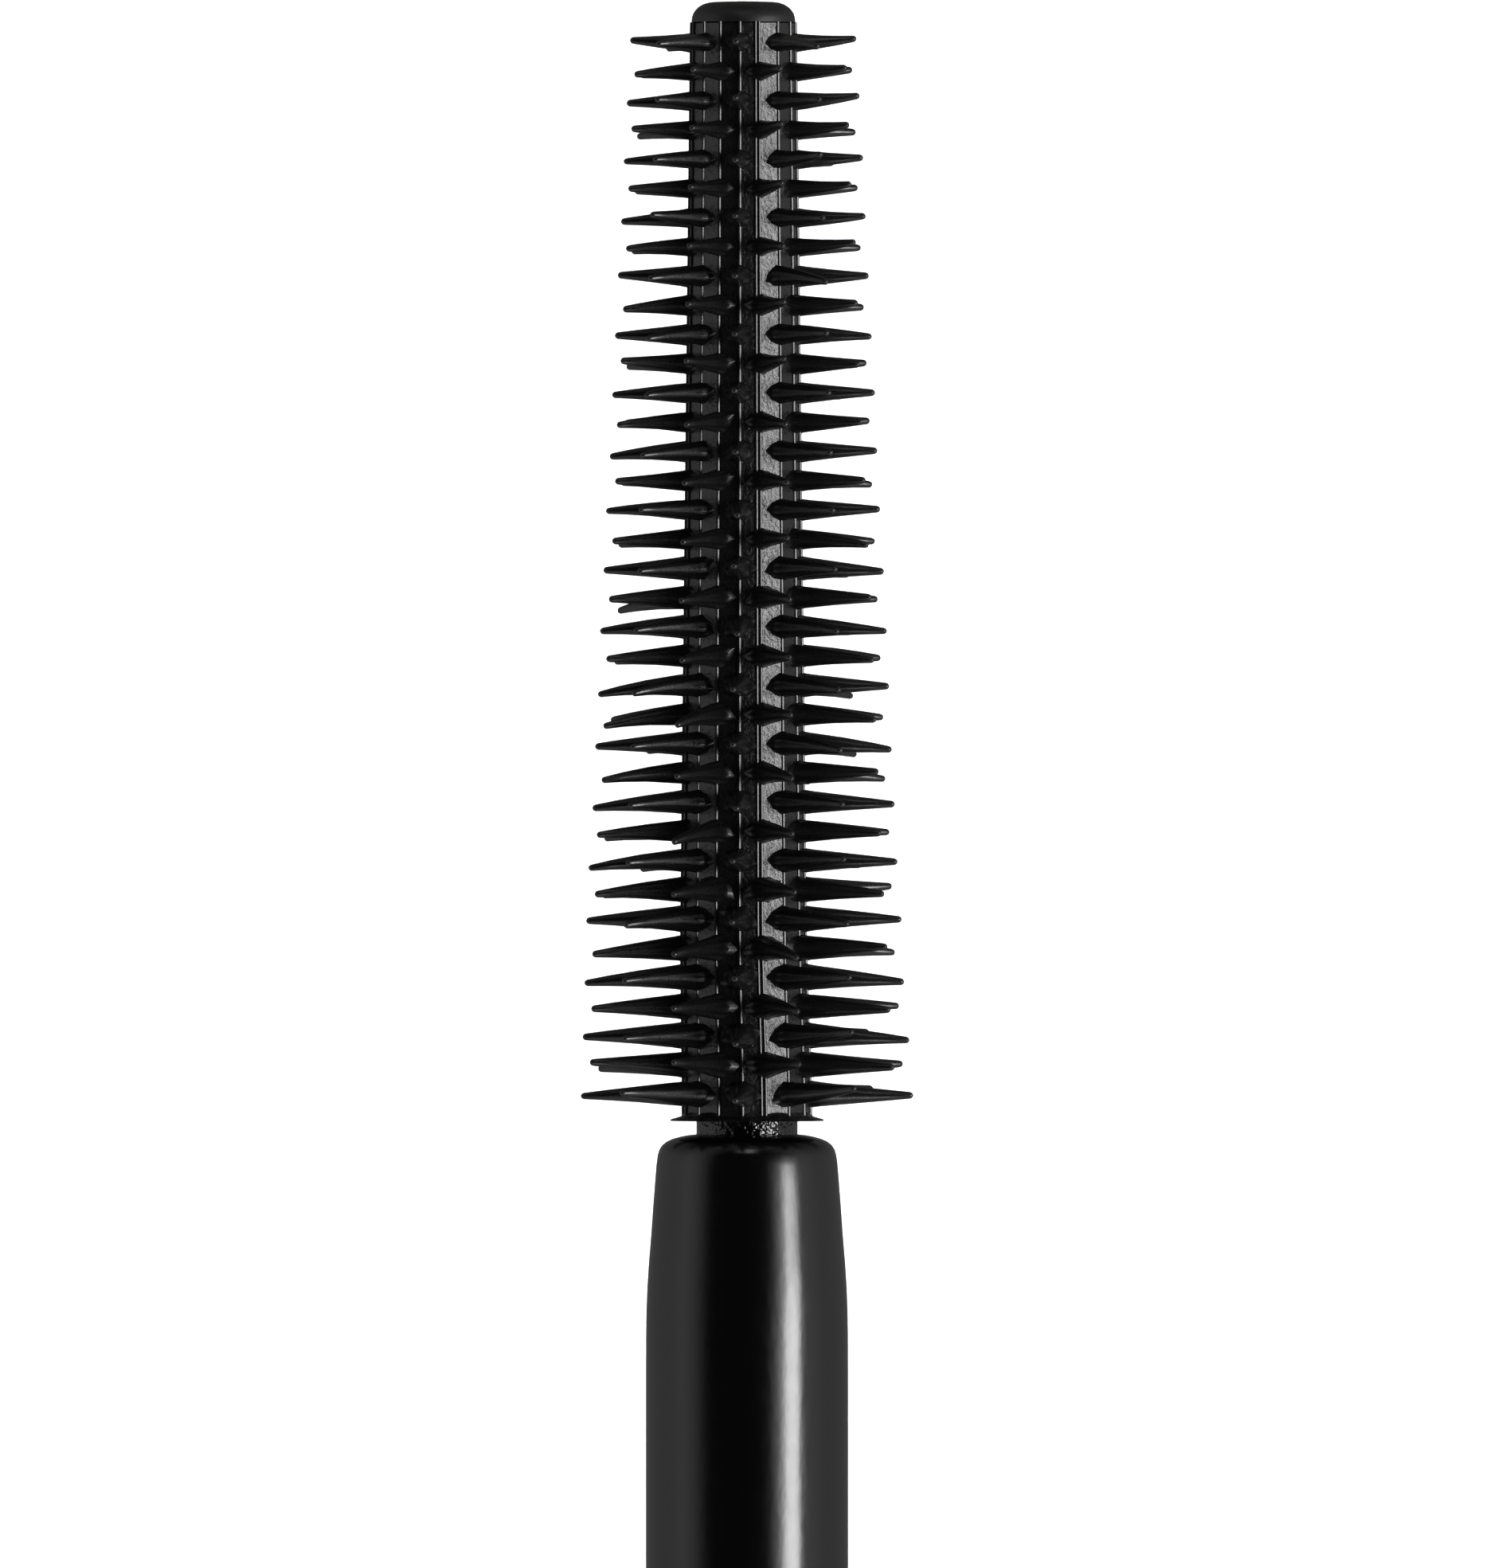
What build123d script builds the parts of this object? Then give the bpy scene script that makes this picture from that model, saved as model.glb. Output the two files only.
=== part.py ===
"""Mascara, opened: a threaded tube with a wiper in its neck, and its applicator laid in line with it.

All sizes are in millimetres. Every piece is first modelled standing on one shared axis, local +Z, and is
then laid down along +X. Local z is counted from the closed end of the cap: cap, stem, brush, a free gap,
and then the tube with its neck towards the brush. Pieces of the tube are drawn with their own depth,
counted from the rim of the neck towards the base.
"""

import math
import os

from build123d import *

os.makedirs("parts", exist_ok=True)

# Driving dimensions
BARREL_R = 8.3  # outside of cap and tube
SHELL_WALL = 0.9
CAP_LENGTH = 50.0
STEM_OUT = 35.0  # stem beyond the mouth of the cap
STEM_R = 2.5
BRUSH_LENGTH = 28.0  # from the top of the stem to the end of the head
OPEN_GAP = 8.0  # from the brush to the neck when the mascara lies open
NECK_LENGTH = 12.0
BODY_LENGTH = 70.0
FIT = 0.05  # gap between pieces that are pressed or snapped together

# Along the applicator
SHELL_END = 1.4  # thickness of the closed end
END_DISC_R = 6.0
END_DISC_DEPTH = 0.6
WEIGHT_R = 6.5
WEIGHT_LENGTH = 8.0
THREAD_CAVITY_R = 6.1
THREAD_CAVITY_DEPTH = 13.25
GASKET_THICKNESS = 0.8
SOCKET_WALL = 1.1
SOCKET_FLOOR_AT = 13.0
STEM_TOP = CAP_LENGTH + STEM_OUT
TIP = STEM_TOP + BRUSH_LENGTH
CEILING = CAP_LENGTH - THREAD_CAVITY_DEPTH  # roof of the thread cavity, where the gasket lies

# Thread, one full turn from open to closed
PITCH = 3.0
NECK_R = 5.2
THREAD_CREST_R = 5.85
CAP_THREAD_CREST_R = 5.4
RIDGE_FOOT = 1.2
RIDGE_CREST = 0.6
NECK_THREAD_FROM = 2.6  # depth below the rim where the neck's thread starts
NECK_THREAD_TURNS = 1.25
CAP_THREAD_TURNS = 1.0
CLOSED_GAP = 0.2  # between the mouth of the cap and the collar when the cap is screwed home

# Stem end: a shallow cone that blends into the rod, with a rounded shoulder
STEM_CONE_LENGTH = 4.2
STEM_CONE_END_R = 2.175
STEM_CROWN = 0.12
STEM_SHOULDER_FILLET = 0.5
STEM_BLEND_FILLET = 14.0
STEM_FLANGE_R = 3.4
PLUG_R = 1.24
PLUG_DEPTH = 6.5
SNAP_BEAD = 0.1

# Brush
ROWS = 16  # bristle rows round the core, every second one in each ring
RINGS = 37
RING_PITCH = 0.7217
FIRST_RING = 1.02  # from the end of the head to the first ring
FIRST_ROW = 176.2  # degrees round the local axis; 180 points straight up once the piece lies down
SLEEVE_R_TIP = 1.285
SLEEVE_R_ROOT = 1.58
SLEEVE_BORE_R = 0.86
BRISTLE_REACH_TIP = 2.83  # from the axis to the end of a bristle in the first ring
BRISTLE_REACH_ROOT = 4.15  # and in the last one
BRISTLE_TIP_R = 0.08
BRISTLE_SLOPE = 0.097  # growth of a bristle's radius per length
HEAD_LENGTH = 0.51
HEAD_R = 1.29
NECKING = 0.33  # bare neck between the stem and the sleeve's flange
FLANGE_R = 1.91
FLANGE_THICKNESS = 0.22
FLANGE_EDGE = 0.05

# Tube
NECK_BORE_R = 4.55
BOTTLE_R = 7.3
BOTTLE_BORE_R = 6.4
BOTTLE_FLOOR = 1.5
COLLAR_PLATE = 1.0
COLLAR_SKIRT = 1.6
PLUG_THICKNESS = 1.8
WIPER_FLANGE = 0.6
WIPER_ORIFICE_R = 2.55
LABEL_R = 5.5
LABEL_THICKNESS = 0.1

SHOULDER = NECK_LENGTH + COLLAR_PLATE
BASE = NECK_LENGTH + BODY_LENGTH
BOTTLE_END = BASE - PLUG_THICKNESS - 0.7
TUBE_AT = TIP + OPEN_GAP
TOTAL = TUBE_AT + BASE
SHELL_BORE_R = BARREL_R - SHELL_WALL


def outline(*corners):
    """Face from (radius, height) corners, ready to be turned about the axis."""
    return Plane.XZ * make_face(Polyline(*corners, close=True))


def turned(*corners):
    """Solid of revolution from (radius, height) corners."""
    return revolve(outline(*corners), Axis.Z)


def ring(inner_r, outer_r, low, high):
    """Plain ring, or a disc where the inner radius is 0."""
    return turned((inner_r, low), (outer_r, low), (outer_r, high), (inner_r, high))


def round_rim(solid, radius, height, at_r):
    """Rounds the circular edge of the given radius at the given height."""
    rims = [e for e in solid.edges().filter_by(GeomType.CIRCLE)
            if abs(e.radius - at_r) < 0.01 and abs(e.center().Z - height) < 0.01]
    return fillet(rims, radius)


def thread_ridge(wall_r, crest_r, start, turns):
    """Helical ridge on a wall, outwards or inwards, sunk slightly into the wall that carries it."""
    sink = 0.05 if crest_r > wall_r else -0.05
    path = Helix(PITCH, PITCH * turns, wall_r)
    depth = crest_r - wall_r
    section = Plane(origin=path @ 0, x_dir=(1, 0, 0), z_dir=path % 0) * make_face(Polyline(
        (-sink, -RIDGE_FOOT / 2), (depth, -RIDGE_CREST / 2), (depth, RIDGE_CREST / 2), (-sink, RIDGE_FOOT / 2),
        close=True))
    return Pos(0, 0, start) * sweep(section, path=path, is_frenet=True)


def cap_shell():
    shell = turned(
        (0, END_DISC_DEPTH), (END_DISC_R, END_DISC_DEPTH), (END_DISC_R, 0), (BARREL_R, 0),
        (BARREL_R, CAP_LENGTH), (SHELL_BORE_R, CAP_LENGTH), (SHELL_BORE_R, SHELL_END), (0, SHELL_END))
    shell = round_rim(shell, 0.8, 0, BARREL_R)
    return round_rim(shell, 0.25, CAP_LENGTH, BARREL_R)


def cap_end_disc():
    disc = ring(0, END_DISC_R - FIT, 0.1, END_DISC_DEPTH)
    return round_rim(disc, 0.15, 0.1, END_DISC_R - FIT)


def cap_weight():
    slug = ring(0, WEIGHT_R, SHELL_END + FIT, SHELL_END + FIT + WEIGHT_LENGTH)
    return chamfer(slug.edges().filter_by(GeomType.CIRCLE), 0.4)


def inner_cap():
    """Liner with the thread in its mouth, the socket for the stem and ribs that hold the weight in place."""
    outer_r = SHELL_BORE_R - FIT
    low, high = SHELL_END + FIT, CAP_LENGTH - 0.3
    rib_from = low + WEIGHT_LENGTH + FIT
    web_from = CEILING - 2.0
    socket_r = STEM_R + FIT
    body = ring(WEIGHT_R + FIT, outer_r, low, CEILING) + ring(THREAD_CAVITY_R, outer_r, CEILING, high)
    body += ring(socket_r, outer_r - 0.2, web_from, CEILING)
    body += ring(socket_r, socket_r + SOCKET_WALL, SOCKET_FLOOR_AT, web_from)
    body += ring(0, socket_r + SOCKET_WALL, SOCKET_FLOOR_AT - 1.0, SOCKET_FLOOR_AT)
    rib_inner = socket_r + SOCKET_WALL - 0.3
    for angle in range(0, 360, 60):
        rib = Box(WEIGHT_R + 0.3 - rib_inner, 0.8, web_from - rib_from,
                  align=(Align.MIN, Align.CENTER, Align.MIN))
        body += Rot(0, 0, angle) * Pos(rib_inner, 0, rib_from) * rib
    body -= ring(0, STEM_R + SNAP_BEAD + FIT, CEILING - 6.1, CEILING - 4.9)
    return body + thread_ridge(THREAD_CAVITY_R, CAP_THREAD_CREST_R, cap_thread_start(), CAP_THREAD_TURNS)


def cap_thread_start():
    """Height of the cap's ridge, half a pitch under the neck's ridge when the cap is screwed home."""
    closed_shift = TUBE_AT + NECK_LENGTH - CAP_LENGTH - CLOSED_GAP
    return TUBE_AT + NECK_THREAD_FROM + PITCH / 2 - closed_shift


def cap_gasket():
    return ring(STEM_FLANGE_R + FIT, THREAD_CAVITY_R - FIT, CEILING, CEILING + GASKET_THICKNESS)


def stem():
    """Rod with its flange on the roof of the thread cavity, snapped into the liner's socket."""
    profile = outline(
        (0, SOCKET_FLOOR_AT + 0.2), (STEM_R, SOCKET_FLOOR_AT + 0.2),
        (STEM_R, STEM_TOP - STEM_CONE_LENGTH), (STEM_CONE_END_R, STEM_TOP - STEM_CROWN),
        (PLUG_R + 0.02, STEM_TOP), (PLUG_R + 0.02, STEM_TOP - PLUG_DEPTH - 0.3), (0, STEM_TOP - PLUG_DEPTH - 0.3))
    corners = profile.vertices()
    shoulder = corners.sort_by_distance((STEM_CONE_END_R, 0, STEM_TOP - STEM_CROWN))[0]
    profile = fillet(shoulder, STEM_SHOULDER_FILLET)
    blend = profile.vertices().sort_by_distance((STEM_R, 0, STEM_TOP - STEM_CONE_LENGTH))[0]
    rod = revolve(fillet(blend, STEM_BLEND_FILLET), Axis.Z)
    rod += ring(STEM_R - 0.1, STEM_FLANGE_R, CEILING, CEILING + GASKET_THICKNESS)
    bead = turned((STEM_R - 0.1, CEILING - 6.0), (STEM_R, CEILING - 6.0), (STEM_R + SNAP_BEAD, CEILING - 5.6),
                  (STEM_R + SNAP_BEAD, CEILING - 5.4), (STEM_R, CEILING - 5.0), (STEM_R - 0.1, CEILING - 5.0))
    groove = ring(0, PLUG_R + SNAP_BEAD + 0.03, STEM_TOP - 4.0, STEM_TOP - 3.0)
    return rod + bead - groove


def brush_core():
    """Rigid core: plug with a snap bead in the stem, bare neck, rod inside the sleeve, and rounded head."""
    head = ring(0, HEAD_R, TIP - HEAD_LENGTH, TIP)
    head = round_rim(head, 0.36, TIP, HEAD_R)
    plug = ring(0, PLUG_R, STEM_TOP - PLUG_DEPTH, STEM_TOP + NECKING)
    bead = turned((PLUG_R - 0.1, STEM_TOP - 3.9), (PLUG_R, STEM_TOP - 3.9), (PLUG_R + SNAP_BEAD, STEM_TOP - 3.6),
                  (PLUG_R + SNAP_BEAD, STEM_TOP - 3.4), (PLUG_R, STEM_TOP - 3.1), (PLUG_R - 0.1, STEM_TOP - 3.1))
    rod = ring(0, SLEEVE_BORE_R - 0.01, STEM_TOP, TIP - HEAD_LENGTH / 2)
    return plug + bead + rod + head


def reach_at(ring_number):
    """Distance from the axis to the bristle ends of a ring, counted from the head."""
    share = ring_number / (RINGS - 1)
    return BRISTLE_REACH_TIP + share * (BRISTLE_REACH_ROOT - BRISTLE_REACH_TIP)


def bristle(reach, angle, height):
    """Tapered bristle that starts inside the sleeve's wall and points away from the axis."""
    foot = (SLEEVE_BORE_R + SLEEVE_R_TIP) / 2
    foot_r = BRISTLE_TIP_R + BRISTLE_SLOPE * (reach - foot)
    cone = Cone(foot_r, BRISTLE_TIP_R, reach - foot, align=(Align.CENTER, Align.CENTER, Align.MIN))
    return Pos(0, 0, height) * Rot(0, 0, angle) * Pos(foot, 0, 0) * Rot(0, 90, 0) * cone


def bristle_sleeve():
    """Soft sleeve moulded over the core: sixteen flats, a bristle row along every edge, a thin root flange."""
    low, high = STEM_TOP + NECKING, TIP - HEAD_LENGTH
    foot = Pos(0, 0, low) * Rot(0, 0, FIRST_ROW) * RegularPolygon(SLEEVE_R_ROOT, ROWS)
    end = Pos(0, 0, high) * Rot(0, 0, FIRST_ROW) * RegularPolygon(SLEEVE_R_TIP, ROWS)
    sleeve = loft([foot, end], ruled=True)
    sleeve += turned((0, low), (FLANGE_R, low), (FLANGE_R, low + FLANGE_EDGE),
                     (SLEEVE_R_ROOT * 0.97, low + FLANGE_THICKNESS), (0, low + FLANGE_THICKNESS))
    sleeve -= ring(0, SLEEVE_BORE_R, low - 1, high + 1)
    bristles = []
    for number in range(RINGS):
        height = TIP - FIRST_RING - number * RING_PITCH
        for row in range(number % 2, ROWS, 2):
            bristles.append(bristle(reach_at(number), FIRST_ROW + row * 360 / ROWS, height))
    return sleeve.fuse(*bristles)


def bottle():
    wall = turned(
        (NECK_BORE_R, 0), (NECK_R, 0), (NECK_R, SHOULDER), (BOTTLE_R, SHOULDER), (BOTTLE_R, BOTTLE_END),
        (0, BOTTLE_END), (0, BOTTLE_END - BOTTLE_FLOOR), (BOTTLE_BORE_R, BOTTLE_END - BOTTLE_FLOOR),
        (BOTTLE_BORE_R, SHOULDER + 3.0), (NECK_BORE_R, SHOULDER + 1.0))
    wall = round_rim(wall, 0.5, SHOULDER, BOTTLE_R)
    wall = round_rim(wall, 1.0, BOTTLE_END, BOTTLE_R)
    return wall + thread_ridge(NECK_R, THREAD_CREST_R, NECK_THREAD_FROM, NECK_THREAD_TURNS)


def wiper():
    """Flanged insert in the neck, with a cone that narrows to the stem's size."""
    outer_r, inner_r = NECK_BORE_R - 0.02, 4.03
    return turned(
        (inner_r, -WIPER_FLANGE), (NECK_R - 0.1, -WIPER_FLANGE), (NECK_R - 0.1, 0), (outer_r, 0), (outer_r, 5.8),
        (WIPER_ORIFICE_R + 0.35, 9.0), (WIPER_ORIFICE_R, 9.0), (WIPER_ORIFICE_R, 8.6), (inner_r, 5.6))


def tube_collar():
    collar = turned(
        (NECK_R + FIT, NECK_LENGTH), (BARREL_R, NECK_LENGTH), (BARREL_R, NECK_LENGTH + COLLAR_SKIRT),
        (BOTTLE_R + FIT, NECK_LENGTH + COLLAR_SKIRT), (BOTTLE_R + FIT, SHOULDER), (NECK_R + FIT, SHOULDER))
    return round_rim(collar, 0.2, NECK_LENGTH, BARREL_R)


def tube_sleeve():
    sleeve = ring(SHELL_BORE_R, BARREL_R, NECK_LENGTH + COLLAR_SKIRT, BASE)
    return round_rim(sleeve, 0.5, BASE, BARREL_R)


def base_plug():
    plug = ring(0, SHELL_BORE_R - 0.02, BASE - PLUG_THICKNESS, BASE)
    plug += ring(5.0, 6.2, BOTTLE_END + 0.02, BASE - PLUG_THICKNESS)
    return plug - ring(0, LABEL_R + FIT, BASE - LABEL_THICKNESS - 0.02, BASE)


def base_label():
    return ring(0, LABEL_R, BASE - LABEL_THICKNESS - 0.02, BASE - 0.02)


def lay_down(shape, at=0.0):
    """Moves a piece along the shared axis, lays it along +X on the ground and centres the whole on the origin."""
    return Pos(-TOTAL / 2, 0, BARREL_R) * Rot(0, 90, 0) * Pos(0, 0, at) * shape


APPLICATOR = [cap_shell, cap_end_disc, cap_weight, inner_cap, cap_gasket, stem, brush_core, bristle_sleeve]
TUBE = [bottle, wiper, tube_collar, tube_sleeve, base_plug, base_label]

for make in APPLICATOR:
    export_step(lay_down(make()), f"parts/{make.__name__}.step")
for make in TUBE:
    export_step(lay_down(make(), TUBE_AT), f"parts/{make.__name__}.step")
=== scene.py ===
"""Looks of the opened mascara: brush, stem, cap and tube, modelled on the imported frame, and their stage."""

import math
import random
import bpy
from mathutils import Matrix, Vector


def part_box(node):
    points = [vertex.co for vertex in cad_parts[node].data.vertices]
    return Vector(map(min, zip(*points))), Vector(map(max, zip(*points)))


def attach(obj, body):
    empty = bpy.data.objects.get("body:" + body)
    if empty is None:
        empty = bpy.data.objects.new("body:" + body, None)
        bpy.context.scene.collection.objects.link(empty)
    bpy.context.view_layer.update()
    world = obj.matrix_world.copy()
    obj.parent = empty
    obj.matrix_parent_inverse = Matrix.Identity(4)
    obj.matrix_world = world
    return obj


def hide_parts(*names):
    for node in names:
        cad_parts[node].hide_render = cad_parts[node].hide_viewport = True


bl_info = {
    "name": "Opened Mascara",
    "version": (1, 0, 0),
    "blender": (4, 5, 0),
    "location": "View3D > Sidebar > Mascara",
    "description": "Models the brush, stem, cap and tube of an opened mascara on its fixed frame",
    "category": "Object",
}

import bpy
from bpy.props import FloatProperty, FloatVectorProperty, IntProperty, PointerProperty
from mathutils import Matrix, Vector

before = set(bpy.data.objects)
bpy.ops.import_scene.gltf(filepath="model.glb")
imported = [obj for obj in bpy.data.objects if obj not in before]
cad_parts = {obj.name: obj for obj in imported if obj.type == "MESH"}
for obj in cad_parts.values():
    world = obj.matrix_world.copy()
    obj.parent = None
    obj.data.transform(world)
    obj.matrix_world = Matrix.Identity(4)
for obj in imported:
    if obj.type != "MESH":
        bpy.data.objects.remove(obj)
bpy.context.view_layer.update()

MM = 0.001

# Places along the common axis, read from the frame
AXIS_Z = (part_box("tube_sleeve")[0].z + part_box("tube_sleeve")[1].z) / 2
BARREL_R = (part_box("tube_sleeve")[1].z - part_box("tube_sleeve")[0].z) / 2
SLEEVE_FOOT, SLEEVE_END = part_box("bristle_sleeve")[0].x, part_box("bristle_sleeve")[1].x
CORE_FOOT, BRUSH_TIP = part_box("brush_core")[0].x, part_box("brush_core")[1].x
STEM_FOOT, STEM_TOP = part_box("stem")[0].x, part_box("stem")[1].x
CAP_END, CAP_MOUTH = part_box("cap_shell")[0].x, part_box("cap_shell")[1].x
DISC_FACE, DISC_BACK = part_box("cap_end_disc")[0].x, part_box("cap_end_disc")[1].x
GASKET_BACK, GASKET_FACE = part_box("cap_gasket")[0].x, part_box("cap_gasket")[1].x
COLLAR_TOP, COLLAR_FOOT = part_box("tube_collar")[0].x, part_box("tube_collar")[1].x
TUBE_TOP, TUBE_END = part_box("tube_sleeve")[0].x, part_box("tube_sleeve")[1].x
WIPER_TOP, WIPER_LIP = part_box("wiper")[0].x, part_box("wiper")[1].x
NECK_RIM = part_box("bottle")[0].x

# Bristle rows round the sleeve: a ring fills every second one, and the next ring the others
ROWS = 16
HALF_STEP = 360 / ROWS


class BrushShape(bpy.types.PropertyGroup):
    """Sizes of the moulded brush."""

    rings: IntProperty(name="Rings", description="Bristle rings along the brush", default=37, min=1)
    ring_pitch: FloatProperty(
        name="Ring pitch", description="Distance from one ring to the next",
        default=0.7217 * MM, unit="LENGTH")
    first_ring: FloatProperty(
        name="First ring", description="Distance from the end of the head to the first ring",
        default=1.02 * MM, unit="LENGTH")
    reach_tip: FloatProperty(
        name="Reach at the tip", description="Axis to bristle end in the first ring",
        default=2.83 * MM, unit="LENGTH")
    reach_foot: FloatProperty(
        name="Reach at the foot", description="Axis to bristle end in the last ring",
        default=4.15 * MM, unit="LENGTH")
    core_tip_r: FloatProperty(
        name="Core radius at the tip", description="Axis to an edge of the sleeve by the head",
        default=1.285 * MM, unit="LENGTH")
    core_foot_r: FloatProperty(
        name="Core radius at the foot", description="Axis to an edge of the sleeve by the stem",
        default=1.58 * MM, unit="LENGTH")
    first_row: FloatProperty(
        name="First row", description="Turn of the first bristle row from straight up",
        default=math.radians(-3.8), subtype="ANGLE", unit="ROTATION")
    bristle_tip_r: FloatProperty(
        name="Bristle tip radius", description="Radius just below the rounded end",
        default=0.078 * MM, unit="LENGTH")
    bristle_slope: FloatProperty(
        name="Bristle slope", description="Growth of a bristle's radius per length", default=0.097)
    lean: FloatProperty(
        name="Lean", description="How far the moulded brush stands off the stem's axis",
        default=0.088 * MM, unit="LENGTH")
    seed: IntProperty(name="Seed", description="Seed of the small bends", default=6757)


class MascaraColours(bpy.types.PropertyGroup):
    """Colours of the mascara's black plastics, as sRGB."""

    black_plastic: FloatVectorProperty(
        name="Black plastic", description="Brush core and stem", subtype="COLOR_GAMMA", size=3, min=0, max=1,
        default=(0.016, 0.016, 0.018))
    barrel: FloatVectorProperty(
        name="Barrel", description="Cap and tube", subtype="COLOR_GAMMA", size=3, min=0, max=1,
        default=(0.026, 0.026, 0.030))


class StageSettings(bpy.types.PropertyGroup):
    """Camera and light."""

    view_height: FloatProperty(
        name="View height", description="Length along the axis that the camera takes in",
        default=38.76 * MM, unit="LENGTH")
    tip_margin: FloatProperty(
        name="Tip margin", description="Room between the brush and the edge of the camera's view",
        default=0.04 * MM, unit="LENGTH")
    camera_height: FloatProperty(
        name="Camera height", description="Camera above the axis", default=1.0, unit="LENGTH")
    strip_power: FloatProperty(
        name="Strip power", description="Power of the strip light", default=300.0, unit="POWER")
    side_power: FloatProperty(
        name="Side power", description="Power of the cap end's panel", default=14.0, unit="POWER")


# ---------------------------------------------------------------- materials

PLASTIC_IOR = 1.5
USUAL_NOISE = (0.3, 0.7)  # range that holds most of a noise's values
GRAIN_DEPTH = 0.5  # depth of a moulded grain, as a share of its size
TOOL_MARK_DEPTH = 0.3  # the same for the marks on turned metal
PALER, BARREL_PALER = 1.35, 1.2  # light tone of a plastic's clouds over the dark one


def linear(colour):
    """sRGB hex value, or three sRGB parts from 0 to 1, as the linear colour that shaders take."""
    if isinstance(colour, str):
        colour = [int(colour[i:i + 2], 16) / 255 for i in (0, 2, 4)]
    parts = [c / 12.92 if c <= 0.04045 else ((c + 0.055) / 1.055) ** 2.4 for c in colour]
    return (*parts, 1.0)


def add(tree, kind, settings=None, links=None):
    """Adds a node. settings are its properties and unlinked sockets, links its input sockets' sources."""
    node = tree.nodes.new(kind)
    for key, value in (settings or {}).items():
        if isinstance(key, int) or key in node.inputs:
            node.inputs[key].default_value = value
        else:
            setattr(node, key, value)
    for key, source in (links or {}).items():
        tree.links.new(source, node.inputs[key])
    return node


def blank_material(name):
    material = bpy.data.materials.new(name)
    material.use_nodes = True
    material.node_tree.nodes.clear()
    return material, material.node_tree


def noise_at(tree, grain, detail=2.0, stretch=(1, 1, 1)):
    """Noise whose grain is about the given size, on the piece's own coordinates."""
    own = add(tree, "ShaderNodeTexCoord")
    scaled = add(tree, "ShaderNodeMapping", {"Scale": stretch}, {"Vector": own.outputs["Object"]})
    return add(tree, "ShaderNodeTexNoise", {"Scale": 1 / grain, "Detail": detail, "Roughness": 0.55},
               {"Vector": scaled.outputs["Vector"]})


def plastic(name, dark, light, rough, grain, bump, blotch, stretch=(1, 1, 1), detail=2.0):
    """Opaque plastic: cloudy colour between two near tones, uneven gloss and a surface grain as bump."""
    material, tree = blank_material(name)
    cloud = noise_at(tree, blotch, 3.0, stretch)
    colour = add(tree, "ShaderNodeMix", {"data_type": "RGBA", 6: linear(dark), 7: linear(light)},
                 {"Factor": cloud.outputs["Fac"]})
    fine = noise_at(tree, grain, detail, stretch)
    gloss = add(tree, "ShaderNodeMapRange", {
        "From Min": USUAL_NOISE[0], "From Max": USUAL_NOISE[1], "To Min": rough[0], "To Max": rough[1]},
        {"Value": fine.outputs["Fac"]})
    relief = add(tree, "ShaderNodeBump", {"Strength": bump, "Distance": grain * GRAIN_DEPTH},
                 {"Height": fine.outputs["Fac"]})
    shader = add(tree, "ShaderNodeBsdfPrincipled", {"IOR": PLASTIC_IOR},
                 {"Base Color": colour.outputs[2], "Roughness": gloss.outputs["Result"],
                  "Normal": relief.outputs["Normal"]})
    add(tree, "ShaderNodeOutputMaterial", links={"Surface": shader.outputs["BSDF"]})
    return material


def metal(name, dark, light, rough, grain, bump):
    """Turned metal: tool marks round the axis, on walls and end faces alike, in colour, gloss and relief."""
    material, tree = blank_material(name)
    own = add(tree, "ShaderNodeTexCoord")
    centred = add(tree, "ShaderNodeMapping", {"Location": (0, 0, -AXIS_Z)}, {"Vector": own.outputs["Object"]})
    parts = add(tree, "ShaderNodeSeparateXYZ", links={"Vector": centred.outputs["Vector"]})
    across = add(tree, "ShaderNodeCombineXYZ", links={"Y": parts.outputs["Y"], "Z": parts.outputs["Z"]})
    radius = add(tree, "ShaderNodeVectorMath", {"operation": "LENGTH"}, {0: across.outputs["Vector"]})
    travel = add(tree, "ShaderNodeMath", {"operation": "ADD"},
                 {0: parts.outputs["X"], 1: radius.outputs["Value"]})
    marks = add(tree, "ShaderNodeTexNoise", {"noise_dimensions": "1D", "Scale": 1 / grain, "Detail": 3.0},
                {"W": travel.outputs["Value"]})
    colour = add(tree, "ShaderNodeMix", {"data_type": "RGBA", 6: linear(dark), 7: linear(light)},
                 {"Factor": marks.outputs["Fac"]})
    gloss = add(tree, "ShaderNodeMapRange", {"To Min": rough[0], "To Max": rough[1]},
                {"Value": marks.outputs["Fac"]})
    relief = add(tree, "ShaderNodeBump", {"Strength": bump, "Distance": grain * TOOL_MARK_DEPTH},
                 {"Height": marks.outputs["Fac"]})
    shader = add(tree, "ShaderNodeBsdfPrincipled", {"Metallic": 1.0},
                 {"Base Color": colour.outputs[2], "Roughness": gloss.outputs["Result"],
                  "Normal": relief.outputs["Normal"]})
    add(tree, "ShaderNodeOutputMaterial", links={"Surface": shader.outputs["BSDF"]})
    return material


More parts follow.
